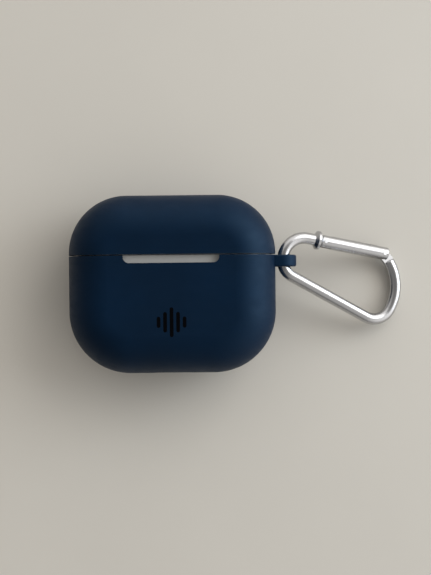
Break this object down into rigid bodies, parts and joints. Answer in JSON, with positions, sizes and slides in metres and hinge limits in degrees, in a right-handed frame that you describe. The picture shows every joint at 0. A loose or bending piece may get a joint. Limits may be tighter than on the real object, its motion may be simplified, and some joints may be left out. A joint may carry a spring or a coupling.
{
  "type": "wireless earbuds case",
  "caption": "Wireless earbuds charging case in a soft cover with a hinged lid, seated earbuds and a carabiner on its side lug",
  "frame": {"origin": "middle of the cover's flat back, on which the case lies", "axes": "+X to the lug and carabiner, +Y to the top of the lid, +Z out of the front face"},
  "size_m": [0.0931, 0.049, 0.024],
  "materials": {
    "silicone": "moulded navy silicone, satin",
    "mark": "black inlay",
    "case_plastic": "polished white polycarbonate",
    "liner_plastic": "satin moulding",
    "bud_plastic": "polished white polycarbonate",
    "hinge_steel": "brushed",
    "spring_steel": "drawn wire",
    "magnet": "nickel plated",
    "board": "green solder mask",
    "chips": "moulded black packages",
    "pouch": "laminated foil",
    "flex": "amber polyimide",
    "copper": "enamelled copper",
    "ferrite": "dark sheet",
    "gold": "gold plated",
    "port_steel": "drawn shell",
    "black_plastic": "moulded",
    "light_pipe": "clear light pipe",
    "mesh": "fine dark mesh",
    "driver_metal": "turned can",
    "carabiner_metal": "polished",
    "pin_metal": "turned steel"
  },
  "bodies": {
    "root": {"cover_body": "silicone", "mark_inlay": "mark", "case_shell": "case_plastic", "status_light": "light_pipe", "body_magnets": "magnet", "case_tray": "liner_plastic", "hinge_body_leaf": "hinge_steel", "hinge_pin": "hinge_steel", "hinge_spring": "spring_steel", "button_switch": "black_plastic", "main_board": "board", "board_components": "chips", "charging_coil": "copper", "ferrite_sheet": "ferrite", "battery_cell": "pouch", "battery_lead": "flex", "charge_port": "port_steel", "port_tongue": "black_plastic", "port_board": "board", "contact_blocks": "black_plastic", "contact_pins": "gold", "contact_flex": "flex", "left_ear_shell": "bud_plastic", "left_stem_shell": "bud_plastic", "left_nozzle_mesh": "mesh", "left_vent_mesh": "mesh", "left_driver": "driver_metal", "left_bud_board": "board", "left_bud_cell": "pouch", "left_charge_pads": "gold", "right_ear_shell": "bud_plastic", "right_stem_shell": "bud_plastic", "right_nozzle_mesh": "mesh", "right_vent_mesh": "mesh", "right_driver": "driver_metal", "right_bud_board": "board", "right_bud_cell": "pouch", "right_charge_pads": "gold"},
    "lid": {"cover_lid": "silicone", "lid_shell": "case_plastic", "lid_liner": "liner_plastic", "lid_magnets": "magnet", "hinge_lid_leaf": "hinge_steel"},
    "setup_button": {"setup_button": "case_plastic"},
    "carabiner": {"carabiner_body": "carabiner_metal"},
    "gate": {"carabiner_gate": "carabiner_metal", "gate_hinge_pin": "pin_metal", "gate_catch_pin": "pin_metal", "gate_plunger": "pin_metal", "gate_spring": "spring_steel"}
  },
  "joints": [
    {"name": "lid_hinge", "type": "hinge", "parent": "root", "child": "lid", "pos_m": [0, 0.0079, 0.00135], "axis": [-1, 0, 0], "range_deg": [0, 100]},
    {"name": "button_press", "type": "slide", "parent": "root", "child": "setup_button", "axis": [0, 0, 1], "range_m": [0, 0.0003], "stiffness_N_per_m": 1500, "springref_m": -0.0002},
    {"name": "carabiner_swing", "type": "hinge", "parent": "root", "child": "carabiner", "pos_m": [0.0305, 0.00613, 0.012], "axis": [0, -1, 0], "range_deg": [-72.2, 107.7]},
    {"name": "gate_pivot", "type": "hinge", "parent": "carabiner", "child": "gate", "pos_m": [0.05934, 0.00814, 0.00276], "axis": [0.3051, 0, 0.9523], "range_deg": [0, 30], "stiffness_Nm_per_rad": 0.01, "springref_deg": -17.19}
  ]
}
